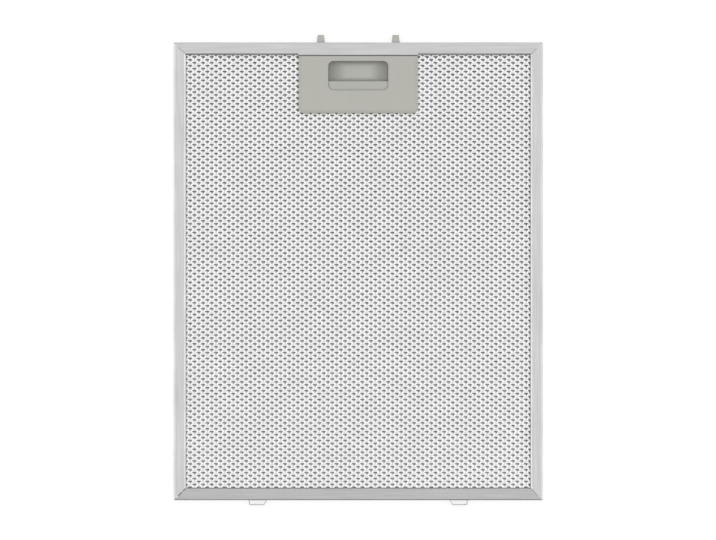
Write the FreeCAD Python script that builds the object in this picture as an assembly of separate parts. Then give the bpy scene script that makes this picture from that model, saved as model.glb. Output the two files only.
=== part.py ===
import FreeCAD, Part
import math
import os

# Cooker hood grease filter: an aluminium channel folded round a pack of expanded mesh,
# with a sprung plastic latch in its upper edge and two locating lugs in its lower edge.
#
# Millimetres. X runs across the filter, Y from the lugs towards the latch tongues, and Z from
# the back of the filter to its front. Each piece is drawn with the middle of the frame's back
# at zero, and then moved along Y so that the origin is under the middle of the overall box.
# A "depth" below is a distance from the frame's upper edge, measured along -Y.

# Frame: one strip, rolled to a C section with turned-in lips
frame_width = 250.0
frame_height = 310.0
frame_depth = 9.0
sheet_gauge = 0.6
flange_width = 8.5
lip_straight = 0.4
lip_inner_radius = 0.8
bend_inner_radius = 0.4
corner_inner_radius = 0.4
mitre_gap = 0.2

# Lower left corner, where the ends of the strip meet and a tab is clinched to the wall
closing_gap = 0.5
closing_tab_length = 14.0
closing_tab_margin = 0.3
clinch_diameter = 3.2
clinch_rise = 0.4

# Locating lugs: bridges lanced out of the lower wall
lug_spacing = 136.2
lug_length = 12.5
lug_projection = 3.3
lug_width = 4.4
lug_outer_slope = 0.7
lug_inner_slope = 1.8
lug_inner_radius = 0.3

# Mesh pack: two facing sheets with inner sheets between them, clamped by the lips
mesh_clearance = 0.3
facing_thickness = 1.2
inner_sheet_count = 3

# Strands of the facing sheets and openings of the inner ones, drawn at a coarse pitch with the
# proportions of the real ones. The strands sink a little below the faces of the pressed border.
facing_pitch_x = 48.0
facing_pitch_y = 32.6
facing_bond_length = 19.0
facing_strand_width = 8.6
facing_gauge = 0.4
strand_sink = 0.05
inner_pitch_x = 58.5
inner_pitch_y = 39.0
inner_bond_length = 28.5
inner_strand_width = 12.5
gap_margin = 2.0
strand_lean = 0.6

# Handle plate and tray, which clamp the mesh between them
plate_side_width = 20.05
plate_corner_radius = 2.5
plate_bevel_width = 1.8
plate_bevel_drop = 0.6
plate_front_drop = 0.3
plate_step_gap = 0.8
flange_clearance = 0.5
tray_clearance = 0.1
wall_clearance = 0.6
mesh_overlap = 2.5
tray_mesh_gap = 0.5
tray_wall = 1.4
lip_relief_gap = 0.7
lip_notch = 0.3

# Finger window in the plate
window_top = 12.7
window_width = 40.5
window_height = 19.6
window_radius = 3.5
window_edge_round = 0.4

# Snap hooks, which hold the plate to the tray
hook_width = 6.0
hook_thickness = 1.2
hook_bite = 0.7
hook_catch_height = 1.2
hook_tip_gap = 0.4
hook_clearance = 0.15
hook_window_room = 0.3
hook_wing_room = 2.15
hook_end_room = 7.4

# Latch slide with its two tongues
slide_clearance = 0.25
slide_wall = 1.5
slide_lip_length = 9.8
wing_length = 10.0
cup_margin = 0.35
cup_wall = 1.9
cup_floor = 1.0
cup_wall_draft = 0.3
cup_end_run = 3.6
cup_ramp_rise = 1.0
cup_corner_radius = 1.2
cup_hidden_edge = 0.6
tongue_offset = 5.1
tongue_width = 5.6
tongue_tip_width = 4.3
tongue_step = 0.75
tongue_tip_thickness = 1.6
tongue_ramp_length = 3.6
tongue_projection = 5.1
tongue_retreat = 0.9
tongue_clearance = 0.3

# Leaf spring between the slide and the tray
spring_gauge = 0.35
spring_side_gap = 0.55
spring_end_room = 7.9
spring_flat_room = 1.3
spring_clearance = 0.15

# Values worked out from the sizes above
Vector = FreeCAD.Vector
X = Vector(1, 0, 0)
Y = Vector(0, 1, 0)
Z = Vector(0, 0, 1)
nearness = 1e-6

half_width = frame_width / 2
half_height = frame_height / 2
middle_z = frame_depth / 2
bend_radius = bend_inner_radius + sheet_gauge
lip_radius = lip_inner_radius + sheet_gauge
corner_radius = corner_inner_radius + sheet_gauge
lip_turn = lip_radius + lip_straight
mesh_back_z = lip_turn
mesh_front_z = frame_depth - lip_turn
mesh_inset = 2 * sheet_gauge + clinch_rise + mesh_clearance
field_half_width = half_width - flange_width - gap_margin
field_half_height = half_height - flange_width - gap_margin

latch_travel = tongue_projection + tongue_retreat
slide_back_z = mesh_back_z + slide_clearance
slide_front_z = mesh_front_z - slide_clearance
slide_top_depth = sheet_gauge + slide_clearance
wing_end_depth = slide_top_depth + wing_length
window_bottom = window_top + window_height
lip_edge_depth = window_bottom - latch_travel
slide_end_depth = lip_edge_depth + slide_lip_length
cup_half_width = window_width / 2 + cup_margin
slide_half_width = cup_half_width + cup_wall
tongue_x = window_width / 2 + tongue_offset
tongue_thickness = slide_front_z - slide_back_z - 2 * tongue_step

plate_front_z = frame_depth - plate_front_drop
plate_step_z = frame_depth - sheet_gauge - flange_clearance
tray_back_z = sheet_gauge + tray_clearance
seat_depth = sheet_gauge + wall_clearance
tray_room_depth = slide_end_depth + latch_travel + spring_flat_room
tray_end_depth = tray_room_depth + tray_wall
notch_depth = tray_end_depth + tray_mesh_gap
plate_reach = notch_depth + mesh_overlap
plate_half_width = window_width / 2 + plate_side_width
notch_half_width = plate_half_width - mesh_overlap
tray_half_width = notch_half_width - tray_mesh_gap
tray_room_half_width = tray_half_width - tray_wall
wing_half_width = tray_room_half_width - slide_clearance
hook_depths = (
    wing_end_depth + latch_travel + hook_wing_room + hook_width / 2,
    tray_room_depth - hook_end_room - hook_width / 2,
)

origin_shift = (lug_projection - tongue_projection) / 2


def y_at(depth):
    """Y of a point that lies the given depth below the frame's upper edge."""
    return half_height - depth


def box(x_range, y_range, z_range):
    """Box between two limits on each axis, given in either order."""
    lows = [min(limits) for limits in (x_range, y_range, z_range)]
    spans = [abs(limits[1] - limits[0]) for limits in (x_range, y_range, z_range)]
    return Part.makeBox(*spans, Vector(*lows))


def rounded_wire(corners):
    """Closed wire through (point, radius) corners. A radius of 0 leaves the corner sharp."""
    rounds = []
    for index, (point, radius) in enumerate(corners):
        to_last = (corners[index - 1][0] - point).normalize()
        to_next = (corners[(index + 1) % len(corners)][0] - point).normalize()
        half_angle = to_last.getAngle(to_next) / 2
        setback = radius / math.tan(half_angle)
        inward = (to_last + to_next).normalize() if radius else to_last
        crown = point + inward * (radius / math.sin(half_angle) - radius)
        rounds.append((point + to_last * setback, crown, point + to_next * setback))
    edges = []
    for index, (start, crown, end) in enumerate(rounds):
        if corners[index][1]:
            edges.append(Part.Arc(start, crown, end).toShape())
        following = rounds[(index + 1) % len(rounds)][0]
        if (following - end).Length > nearness:
            edges.append(Part.LineSegment(end, following).toShape())
    return Part.Wire(edges)


def prism(corners, travel):
    """Solid swept from a closed outline of (point, radius) corners along a straight travel."""
    return Part.Face(rounded_wire(corners)).extrude(travel)


def sharp(*points):
    """Outline corners with no rounding."""
    return [(point, 0) for point in points]


def fused(shapes):
    """One solid made of shapes that meet."""
    return shapes[0].fuse(shapes[1:]).removeSplitter()


def mirrored(shape):
    """The shape and its mirror image across the filter's middle line."""
    return [shape, shape.mirror(Vector(0, 0, 0), X)]


def channel_outline(start, inward):
    """C section of the frame strip, from a point on the outer face's back edge."""
    inner_edge = flange_width - sheet_gauge
    section = [
        (flange_width, mesh_front_z, 0),
        (flange_width, frame_depth, lip_radius),
        (0, frame_depth, bend_radius),
        (0, 0, bend_radius),
        (flange_width, 0, lip_radius),
        (flange_width, mesh_back_z, 0),
        (inner_edge, mesh_back_z, 0),
        (inner_edge, sheet_gauge, lip_inner_radius),
        (sheet_gauge, sheet_gauge, bend_inner_radius),
        (sheet_gauge, frame_depth - sheet_gauge, bend_inner_radius),
        (inner_edge, frame_depth - sheet_gauge, lip_inner_radius),
        (inner_edge, mesh_front_z, 0),
    ]
    return [(start + inward * across + Z * height, radius) for across, height, radius in section]


def frame_rail(middle, inward, length, start_gap, end_gap):
    """One side of the frame, mitred at both ends. It runs along inward turned a quarter back."""
    along = Vector(inward.y, -inward.x, 0)
    start = middle - along * (length / 2)
    end = middle + along * (length / 2)
    channel = prism(channel_outline(start, inward), along * length)
    start_cut = along * (start_gap / math.sqrt(2))
    end_cut = along * (end_gap / math.sqrt(2))
    reach = inward * flange_width
    mitre = prism(
        sharp(
            start + start_cut,
            end - end_cut,
            end - end_cut + reach - along * flange_width,
            start + start_cut + reach + along * flange_width,
        ),
        Z * frame_depth,
    )
    return channel.common(mitre)


def folded_corner(side_x, side_y):
    """Wall of the strip where it bends round a corner of the frame, clear of the flanges' bends."""
    centre = Vector(
        side_x * (half_width - corner_radius), side_y * (half_height - corner_radius), bend_radius
    )
    height = frame_depth - 2 * bend_radius
    ring = Part.makeCylinder(corner_radius, height, centre).cut(
        Part.makeCylinder(corner_inner_radius, height, centre)
    )
    quarter = box(
        (centre.x, centre.x + side_x * corner_radius),
        (centre.y, centre.y + side_y * corner_radius),
        (0, frame_depth),
    )
    return ring.common(quarter)


def corner_trim(side_x, side_y):
    """Metal outside the rounded corner of a folded wall, to be cut away."""
    inner_x = half_width - corner_radius
    inner_y = half_height - corner_radius
    block = box(
        (side_x * inner_x, side_x * half_width),
        (side_y * inner_y, side_y * half_height),
        (0, frame_depth),
    )
    keep = Part.makeCylinder(
        corner_radius, frame_depth, Vector(side_x * inner_x, side_y * inner_y, 0)
    )
    return block.cut(keep)


def closing_tab():
    """Tab at the end of the strip, lapped inside the left wall, with the back of its clinch."""
    wall_x = -half_width + sheet_gauge
    floor_y = -half_height + sheet_gauge
    margin = sheet_gauge + closing_tab_margin
    tab = box(
        (wall_x, wall_x + sheet_gauge),
        (floor_y, floor_y + closing_tab_length),
        (margin, frame_depth - margin),
    )
    boss = Part.makeCylinder(
        clinch_diameter / 2 + sheet_gauge, clinch_rise, clinch_centre() + X * (2 * sheet_gauge), X
    )
    return tab.fuse(boss)


def clinch_centre():
    """Middle of the clinch on the outer face of the left wall."""
    return Vector(-half_width, -half_height + sheet_gauge + closing_tab_length / 2, middle_z)


def lug_bridge(side):
    """Strip of the lower wall pushed out as a bridge, steep on its outer leg and gentle inside."""
    wall_y = -half_height
    centre_x = side * lug_spacing / 2
    legs = ((centre_x + side * lug_length / 2, -side * lug_outer_slope),
            (centre_x - side * lug_length / 2, side * lug_inner_slope))
    outside, inside = [], []
    for foot_x, slope in legs:
        towards_middle = math.copysign(1, slope)
        thickness = sheet_gauge * math.hypot(slope, lug_projection) / lug_projection
        inner_foot = foot_x + towards_middle * thickness
        rise = (lug_projection - sheet_gauge) / lug_projection
        drop = sheet_gauge / lug_projection
        outside.append((
            (Vector(foot_x, wall_y + sheet_gauge, 0), 0),
            (Vector(foot_x, wall_y, 0), 0),
            (Vector(foot_x + slope, wall_y - lug_projection, 0), lug_inner_radius + sheet_gauge),
        ))
        inside.append((
            (Vector(inner_foot + slope * rise, wall_y - lug_projection + sheet_gauge, 0),
             lug_inner_radius),
            (Vector(inner_foot - slope * drop, wall_y + sheet_gauge, 0), 0),
        ))
    outline = [*outside[0], *reversed(outside[1]), *reversed(inside[1]), *inside[0]]
    return raised(outline, lug_width)


def lug_window(side):
    """Window left in the lower wall behind a lug, between the feet of its legs."""
    centre_x = side * lug_spacing / 2
    half_window = lug_length / 2 - 2 * sheet_gauge
    return box(
        (centre_x - half_window, centre_x + half_window),
        (-half_height, -half_height + sheet_gauge),
        (middle_z - lug_width / 2, middle_z + lug_width / 2),
    )


def raised(outline, width):
    """Flat outline at Z = 0 made a solid of the given width about the frame's middle plane."""
    lifted = [(point + Z * (middle_z - width / 2), radius) for point, radius in outline]
    return prism(lifted, Z * width)


def lip_relief():
    """Lips removed from both flanges over the handle, so that the plate and tray pass under."""
    half_relief = plate_half_width + lip_relief_gap
    return box(
        (-half_relief, half_relief),
        (y_at(flange_width - lip_radius), y_at(flange_width)),
        (0, frame_depth),
    )


def flat_flange_edges():
    """Flat edges of the two flanges over the handle, in place of the lips."""
    half_edge = plate_half_width + lip_relief_gap - lip_notch
    y_range = (y_at(flange_width - lip_radius), y_at(flange_width))
    return [
        box((-half_edge, half_edge), y_range, (base, base + sheet_gauge))
        for base in (0, frame_depth - sheet_gauge)
    ]


def tongue_slot():
    """Slot for the right-hand tongue in the frame's upper wall."""
    half_slot = tongue_width / 2 + tongue_clearance
    half_height_z = tongue_thickness / 2 + tongue_clearance
    return box(
        (tongue_x - half_slot, tongue_x + half_slot),
        (y_at(0), y_at(sheet_gauge)),
        (middle_z - half_height_z, middle_z + half_height_z),
    )


def make_frame_channel():
    """The whole frame strip: four sides, three folds, the clinched corner, lugs and slots."""
    rails = [
        frame_rail(Y * half_height, -Y, frame_width, mitre_gap, mitre_gap),
        frame_rail(X * half_width, -X, frame_height, mitre_gap, mitre_gap),
        frame_rail(-Y * half_height, Y, frame_width, closing_gap, mitre_gap),
        frame_rail(-X * half_width, X, frame_height, mitre_gap, closing_gap),
    ]
    folds = [(1, 1), (1, -1), (-1, 1)]
    corners = [folded_corner(*fold) for fold in folds]
    trims = [corner_trim(*fold) for fold in folds]
    lugs = [lug_bridge(side) for side in (-1, 1)]
    dimple = Part.makeCylinder(clinch_diameter / 2, clinch_rise, clinch_centre(), X)
    openings = [lug_window(side) for side in (-1, 1)] + mirrored(tongue_slot()) + [dimple]
    bare = fused(rails).cut(trims + openings + [lip_relief()])
    return fused([bare, *corners, closing_tab(), *lugs, *flat_flange_edges()])


def notched_slab(right, top, notch_right, notch_y, base_z, thickness):
    """Slab about the frame's middle, with a notch for the handle in its upper edge."""
    plan = [
        (-right, -top), (right, -top), (right, top), (notch_right, top),
        (notch_right, notch_y), (-notch_right, notch_y), (-notch_right, top), (-right, top),
    ]
    return prism(sharp(*[Vector(x, y, base_z) for x, y in plan]), Z * thickness)


def whole_sheet(base_z, thickness):
    """Slab as large as a mesh sheet, out to the frame's wall and notched round the tray."""
    return notched_slab(
        half_width - mesh_inset, half_height - mesh_inset, notch_half_width, y_at(notch_depth),
        base_z, thickness,
    )


def open_field(base_z, thickness):
    """Slab over the open part of a mesh sheet, inside the flanges and clear of the handle."""
    return notched_slab(
        field_half_width, field_half_height, plate_half_width + gap_margin,
        y_at(plate_reach + gap_margin), base_z, thickness,
    )


def expanded_strand(base_z, stagger):
    """Strand across a facing sheet: a leaning strip that steps up and forward from bond to bond."""
    step_y = facing_pitch_y / 2 - facing_strand_width
    step_z = (facing_thickness - 2 * strand_sink - facing_gauge) / 2
    lean = Vector(0, facing_strand_width, -step_z)
    drop = -Z * facing_gauge
    low_z = base_z + strand_sink + facing_gauge + step_z
    columns = math.ceil(half_width / facing_pitch_x) + 1
    corners = []
    for column in range(-columns, columns + 1):
        for level in (0, 1):
            bond_x = (column + stagger + level / 2) * facing_pitch_x
            for end in (-1, 1):
                x = bond_x + end * facing_bond_length / 2
                corners.append(Vector(x, level * step_y, low_z + level * step_z))
    edge = Part.makePolygon(corners)
    front, side = edge.extrude(lean), edge.extrude(drop)
    ends = [
        Part.Face(rounded_wire(sharp(point, point + lean, point + lean + drop, point + drop)))
        for point in (corners[0], corners[-1])
    ]
    skins = [front, front.translated(drop), side, side.translated(lean)]
    return Part.Solid(Part.Shell([face for skin in skins for face in skin.Faces] + ends))


def facing_sheet(base_z):
    """Outer sheet of the pack: rows of strands joined at their bonds, in a border pressed flat."""
    whole = whole_sheet(base_z, facing_thickness)
    border = whole.cut(open_field(base_z, facing_thickness))
    courses = [expanded_strand(base_z, stagger) for stagger in (0, 1 / 2)]
    row_step = facing_pitch_y / 2
    rows = math.ceil(2 * field_half_height / row_step)
    strands = [
        courses[row % 2].translated(Y * ((row - rows / 2) * row_step)) for row in range(rows)
    ]
    return fused([border, *Part.Compound(strands).common(whole).Solids])


def gap_centres(length, height, shift):
    """Middles of an inner sheet's openings: staggered rows in its open field."""
    reach_x = field_half_width - length / 2
    reach_y = field_half_height - height / 2
    handle_x = plate_half_width + gap_margin + length / 2
    handle_y = y_at(plate_reach + gap_margin) - height / 2
    rows = math.ceil(frame_height / inner_pitch_y)
    columns = math.ceil(frame_width / inner_pitch_x)
    centres = []
    for row in range(-rows, rows + 1):
        stagger = (row + shift) % 2 / 2
        y = row * inner_pitch_y / 2
        for column in range(-columns, columns + 1):
            x = (column + stagger) * inner_pitch_x
            beside_handle = abs(x) > handle_x or y < handle_y
            if abs(x) <= reach_x and abs(y) <= reach_y and beside_handle:
                centres.append((x, y))
    return centres


def inner_sheet(base_z, thickness, shift):
    """Inner sheet of the pack, with diamond openings that lean as the strands round them do."""
    length = inner_pitch_x - inner_bond_length
    height = inner_pitch_y - 2 * inner_strand_width
    lean = Vector(0, strand_lean, thickness)
    gaps = []
    for x, y in gap_centres(length, height, shift):
        middle = Vector(x, y - strand_lean / 2, base_z)
        diamond = sharp(
            middle - X * (length / 2), middle - Y * (height / 2),
            middle + X * (length / 2), middle + Y * (height / 2),
        )
        gaps.append(prism(diamond, lean))
    return whole_sheet(base_z, thickness).cut(Part.Compound(gaps))


def make_mesh_pack():
    """The sheets of the pack from back to front, by name, each laid on the one behind it."""
    room = mesh_front_z - mesh_back_z - 2 * facing_thickness
    inner_thickness = room / inner_sheet_count
    front = facing_sheet(mesh_front_z - facing_thickness)
    sheets = {"mesh_back": front.mirror(Z * middle_z, Z), "mesh_front": front}
    for index in range(inner_sheet_count):
        base_z = mesh_back_z + facing_thickness + index * inner_thickness
        sheets[f"mesh_inner_{index + 1}"] = inner_sheet(base_z, inner_thickness, index)
    return sheets


def handle_slab(base_z, thickness):
    """Slab with the handle's outline, rounded at its lower corners and tucked under the flange."""
    right = plate_half_width
    top, bottom = y_at(seat_depth), y_at(plate_reach)
    return prism(
        [
            (Vector(-right, top, base_z), 0),
            (Vector(-right, bottom, base_z), plate_corner_radius),
            (Vector(right, bottom, base_z), plate_corner_radius),
            (Vector(right, top, base_z), 0),
        ],
        Z * thickness,
    )


def rim_edges(solid, face_z):
    """Edges round a handle slab's face at the given height, except the one under the flange."""
    top = y_at(seat_depth)
    return [
        edge for edge in solid.Edges
        if all(abs(vertex.Z - face_z) < nearness for vertex in edge.Vertexes)
        and not all(abs(vertex.Y - top) < nearness for vertex in edge.Vertexes)
    ]


def finger_window():
    """Prism of the finger window, through the plate."""
    right = window_width / 2
    top, bottom = y_at(window_top), y_at(window_bottom)
    corners = [(-right, top), (-right, bottom), (right, bottom), (right, top)]
    return prism(
        [(Vector(x, y, mesh_front_z), window_radius) for x, y in corners],
        Z * (plate_front_z - mesh_front_z),
    )


def snap_hook(depth):
    """Right-hand hook that hangs from the plate, with its barb facing the tray's wall."""
    outer_x = tray_room_half_width - hook_clearance
    tip_z = mesh_back_z + hook_tip_gap
    catch_z = tip_z + hook_catch_height
    y_start = y_at(depth) - hook_width / 2
    beam = box(
        (outer_x - hook_thickness, outer_x), (y_start, y_start + hook_width), (tip_z, mesh_front_z)
    )
    barb = prism(
        sharp(
            Vector(outer_x, y_start, tip_z),
            Vector(outer_x + hook_bite, y_start, catch_z),
            Vector(outer_x, y_start, catch_z),
        ),
        Y * hook_width,
    )
    return beam.fuse(barb).removeSplitter()


def hook_window(depth):
    """Window in the tray's right wall for the barb of a snap hook."""
    half_window = hook_width / 2 + hook_window_room
    catch_z = mesh_back_z + hook_tip_gap + hook_catch_height
    return box(
        (tray_room_half_width, tray_half_width),
        (y_at(depth) - half_window, y_at(depth) + half_window),
        (mesh_back_z, catch_z + hook_window_room),
    )


def plate_step():
    """Step along the plate's upper edge, which lets it pass under the flange with a gap."""
    return box(
        (-plate_half_width, plate_half_width),
        (y_at(flange_width + plate_step_gap), y_at(seat_depth)),
        (plate_step_z, plate_front_z),
    )


def make_handle_plate():
    """Front plate: a bevelled slab on the mesh, with the finger window and four snap hooks."""
    slab = handle_slab(mesh_front_z, plate_front_z - mesh_front_z)
    bevelled = slab.makeChamfer(plate_bevel_drop, plate_bevel_width, rim_edges(slab, plate_front_z))
    pierced = bevelled.cut([finger_window(), plate_step()])
    half_window = window_width / 2 + nearness
    window_rim = [
        edge for edge in pierced.Edges
        if all(abs(vertex.Z - plate_front_z) < nearness for vertex in edge.Vertexes)
        and all(abs(vertex.X) <= half_window for vertex in edge.Vertexes)
        and y_at(window_bottom) - nearness <= edge.CenterOfMass.y <= y_at(window_top) + nearness
    ]
    softened = pierced.makeFillet(window_edge_round, window_rim)
    hooks = [hook for depth in hook_depths for hook in mirrored(snap_hook(depth))]
    return fused([softened, *hooks])


def make_handle_tray():
    """Rear half: a slab on the back of the mesh with a wall round the slide's room."""
    slab = handle_slab(tray_back_z, mesh_back_z - tray_back_z)
    slab = slab.makeChamfer(plate_bevel_drop, rim_edges(slab, tray_back_z))
    top = y_at(seat_depth)
    z_range = (mesh_back_z, mesh_front_z)
    wall = box((-tray_half_width, tray_half_width), (y_at(tray_end_depth), top), z_range)
    room = box(
        (-tray_room_half_width, tray_room_half_width), (y_at(tray_room_depth), top), z_range
    )
    windows = [window for depth in hook_depths for window in mirrored(hook_window(depth))]
    return fused([slab, wall.cut([room, *windows])])


def tongue():
    """Right-hand tongue: tapered towards its tip, with a ramp on the back that rides it home."""
    foot_y, edge_y = y_at(slide_top_depth), y_at(0)
    tip_y = edge_y + tongue_projection
    half_foot, half_tip = tongue_width / 2, tongue_tip_width / 2
    back_z = middle_z - tongue_thickness / 2
    plan = [
        (-half_foot, foot_y), (half_foot, foot_y), (half_foot, edge_y),
        (half_tip, tip_y), (-half_tip, tip_y), (-half_foot, edge_y),
    ]
    blade = prism(
        sharp(*[Vector(tongue_x + x, y, back_z) for x, y in plan]), Z * tongue_thickness
    )
    ramp = prism(
        sharp(
            Vector(tongue_x - half_foot, tip_y - tongue_ramp_length, back_z),
            Vector(tongue_x - half_foot, tip_y, back_z + tongue_thickness - tongue_tip_thickness),
            Vector(tongue_x - half_foot, tip_y, back_z),
        ),
        X * tongue_width,
    )
    return blade.cut(ramp)


def finger_cup():
    """Room for the fingertips: steep ends, and ramps at their feet that run into the floor."""
    top_y = y_at(window_top - cup_hidden_edge)
    floor_z = slide_back_z + cup_floor
    half_ramps = cup_half_width - cup_wall_draft
    half_floor = cup_half_width - cup_end_run
    return prism(
        [
            (Vector(-cup_half_width, top_y, slide_front_z), 0),
            (Vector(-half_ramps, top_y, floor_z + cup_ramp_rise), cup_corner_radius),
            (Vector(-half_floor, top_y, floor_z), cup_corner_radius),
            (Vector(half_floor, top_y, floor_z), cup_corner_radius),
            (Vector(half_ramps, top_y, floor_z + cup_ramp_rise), cup_corner_radius),
            (Vector(cup_half_width, top_y, slide_front_z), 0),
        ],
        Y * (y_at(lip_edge_depth) - top_y),
    )


def slide_hollow(x_range, depth_range):
    """Hollow moulded into the slide's back, a wall's thickness inside the given limits."""
    return box(
        (min(x_range) + slide_wall, max(x_range) - slide_wall),
        (y_at(depth_range[0] + slide_wall), y_at(depth_range[1] - slide_wall)),
        (slide_back_z, slide_front_z - slide_wall),
    )


def make_latch_slide():
    """Slide: a cup and lip behind the window, wings that run in the tray, and two tongues."""
    z_range = (slide_back_z, slide_front_z)
    block = box(
        (-slide_half_width, slide_half_width), (y_at(slide_end_depth), y_at(slide_top_depth)), z_range
    )
    wings = box(
        (-wing_half_width, wing_half_width), (y_at(wing_end_depth), y_at(slide_top_depth)), z_range
    )
    lip_hollow = slide_hollow(
        (-slide_half_width, slide_half_width), (lip_edge_depth, slide_end_depth)
    )
    wing_hollow = slide_hollow(
        (slide_half_width - slide_wall, wing_half_width), (slide_top_depth, wing_end_depth)
    )
    body = fused([block, wings]).cut([finger_cup(), lip_hollow, *mirrored(wing_hollow)])
    return fused([body, *mirrored(tongue())])


def make_latch_spring():
    """Leaf spring: a bow with its ends on the tray's lower wall and its crown on the slide."""
    crown_y = y_at(slide_end_depth + spring_clearance)
    foot_y = y_at(tray_room_depth - spring_clearance)
    base_z = slide_back_z + spring_side_gap
    half_span = tray_room_half_width - spring_end_room

    def bow(drop):
        """Arc of the bow's face, let down from its crown by the given drop."""
        return Part.Arc(
            Vector(-half_span, foot_y + spring_gauge - drop, base_z),
            Vector(0, crown_y - drop, base_z),
            Vector(half_span, foot_y + spring_gauge - drop, base_z),
        ).toShape()

    upper, lower = bow(0), bow(spring_gauge)
    ends = [
        Part.LineSegment(upper.Vertexes[index].Point, lower.Vertexes[index].Point).toShape()
        for index in (0, 1)
    ]
    outline = Part.Wire([upper, ends[1], lower, ends[0]])
    return Part.Face(outline).extrude(Z * (slide_front_z - spring_side_gap - base_z))


def main():
    """Builds every piece and writes each to a file of its own."""
    pieces = {
        "frame_channel": make_frame_channel(),
        **make_mesh_pack(),
        "handle_plate": make_handle_plate(),
        "handle_tray": make_handle_tray(),
        "latch_slide": make_latch_slide(),
        "latch_spring": make_latch_spring(),
    }
    os.makedirs("parts", exist_ok=True)
    for name, shape in pieces.items():
        placed = shape.translated(Y * origin_shift)
        placed.exportStep(f"parts/{name}.step")
        print(name, "solids", len(placed.Solids), "valid", placed.isValid(),
              "volume", round(placed.Volume, 1))


main()
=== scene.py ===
"""Finishes, expanded mesh, floor, light and camera for the cooker hood grease filter."""
import logging
import math
from collections.abc import Iterator
from dataclasses import dataclass, replace
from enum import Enum

import bmesh
import bpy
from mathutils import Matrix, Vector


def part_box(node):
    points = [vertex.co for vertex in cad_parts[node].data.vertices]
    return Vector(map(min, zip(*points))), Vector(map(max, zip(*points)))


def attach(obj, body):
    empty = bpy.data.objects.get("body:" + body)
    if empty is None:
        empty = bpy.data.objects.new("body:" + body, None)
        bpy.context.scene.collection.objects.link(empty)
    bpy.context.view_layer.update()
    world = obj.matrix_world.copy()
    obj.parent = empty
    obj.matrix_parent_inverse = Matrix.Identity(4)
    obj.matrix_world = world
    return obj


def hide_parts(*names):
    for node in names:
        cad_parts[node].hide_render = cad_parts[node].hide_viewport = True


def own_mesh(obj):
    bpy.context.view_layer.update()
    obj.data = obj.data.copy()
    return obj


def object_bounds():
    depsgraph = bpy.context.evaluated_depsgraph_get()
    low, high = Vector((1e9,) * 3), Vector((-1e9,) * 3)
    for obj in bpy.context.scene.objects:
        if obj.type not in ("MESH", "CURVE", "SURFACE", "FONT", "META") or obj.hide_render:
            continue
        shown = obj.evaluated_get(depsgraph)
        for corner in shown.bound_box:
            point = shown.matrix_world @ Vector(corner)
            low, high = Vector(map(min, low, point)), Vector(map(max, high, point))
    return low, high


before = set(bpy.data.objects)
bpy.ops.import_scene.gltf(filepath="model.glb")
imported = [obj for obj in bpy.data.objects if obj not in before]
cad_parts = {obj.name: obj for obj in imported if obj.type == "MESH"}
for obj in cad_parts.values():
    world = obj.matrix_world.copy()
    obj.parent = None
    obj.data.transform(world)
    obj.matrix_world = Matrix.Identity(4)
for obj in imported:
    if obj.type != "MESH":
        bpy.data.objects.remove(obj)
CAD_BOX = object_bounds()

LOG = logging.getLogger("grease_filter")
MM = 0.001

Socket = bpy.types.NodeSocket
Feed = float | int | bool | tuple | Socket
Triple = tuple[float, float, float]
Colour = Triple
WHITE: Colour = (1.0, 1.0, 1.0)


class Facing(Enum):
    """Side of the filter that a mesh sheet shows its strands' faces to."""

    FRONT = 1
    BACK = -1


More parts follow.
